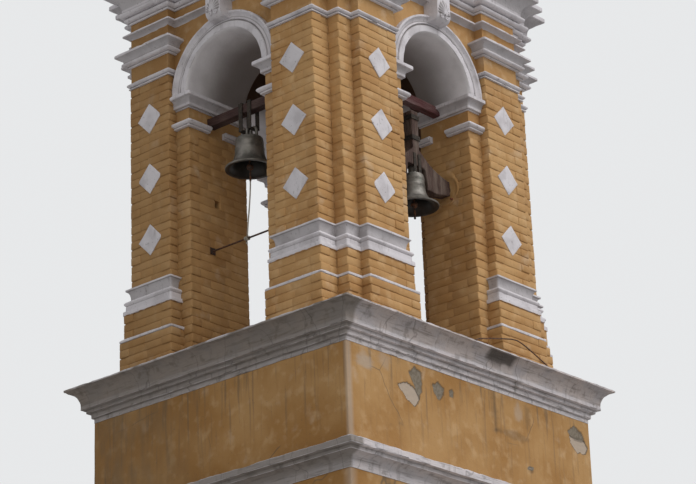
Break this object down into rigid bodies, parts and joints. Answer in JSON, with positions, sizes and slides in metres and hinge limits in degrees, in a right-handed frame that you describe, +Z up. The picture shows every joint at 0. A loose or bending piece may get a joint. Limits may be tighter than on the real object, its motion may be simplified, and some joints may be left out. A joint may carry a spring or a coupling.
{
  "type": "bell tower",
  "caption": "Square masonry bell tower: plain plastered shaft, moulded cornice, arched belfry with pilasters and a dome, with a fixed bell and a bell that swings on a wooden headstock.",
  "frame": {"origin": "ground level, under the middle of the shaft", "axes": "+Z up; -Y is the front, the face with the swinging bell; -X is the face with the fixed bell"},
  "size_m": [3.47, 3.16, 14.12],
  "materials": {
    "ochre_plaster": "matt painted plaster",
    "ochre_brick": "matt painted brick",
    "white_stucco": "matt limewashed stucco",
    "grey_stucco": "weathered stucco",
    "bell_bronze": "dark patina",
    "iron": "rusted",
    "old_timber": "weathered",
    "rope": "natural fibre"
  },
  "bodies": {
    "tower": {"shaft_wall_front": "ochre_plaster", "shaft_wall_right": "ochre_plaster", "shaft_wall_back": "ochre_plaster", "shaft_wall_left": "ochre_plaster", "belfry_floor": "ochre_plaster", "string_course": "grey_stucco", "main_cornice": "grey_stucco", "pier_front_left": "ochre_brick", "pier_front_right": "ochre_brick", "pier_back_right": "ochre_brick", "pier_back_left": "ochre_brick", "arch_wall_front": "ochre_brick", "arch_wall_right": "ochre_brick", "arch_wall_back": "ochre_brick", "arch_wall_left": "ochre_brick", "archivolts": "white_stucco", "keystones": "white_stucco", "neckings": "white_stucco", "capitals": "white_stucco", "frieze_band": "white_stucco", "imposts": "white_stucco", "astragals": "white_stucco", "lozenges": "white_stucco", "pier_base_front_left": "white_stucco", "pier_base_front_right": "white_stucco", "pier_base_back_right": "white_stucco", "pier_base_back_left": "white_stucco", "top_cornice": "white_stucco", "roof_slab": "ochre_plaster", "dome": "ochre_plaster", "dome_finial": "white_stucco", "roof_cross": "iron", "fixed_bell": "bell_bronze", "fixed_bell_clapper": "iron", "fixed_bell_beam": "old_timber", "fixed_bell_straps": "iron", "guard_rod": "iron", "bell_rope": "rope", "axle_bearings": "iron", "upper_beam": "old_timber"},
    "swinging_bell": {"swing_bell": "bell_bronze", "swing_bell_clapper": "iron", "headstock": "old_timber", "axle_pins": "iron", "headstock_iron": "iron"}
  },
  "joints": [
    {"name": "bell_swing", "type": "hinge", "parent": "tower", "child": "swinging_bell", "pos_m": [-0.022, -0.89, 9.668], "axis": [1, 0, 0], "continuous": true}
  ]
}
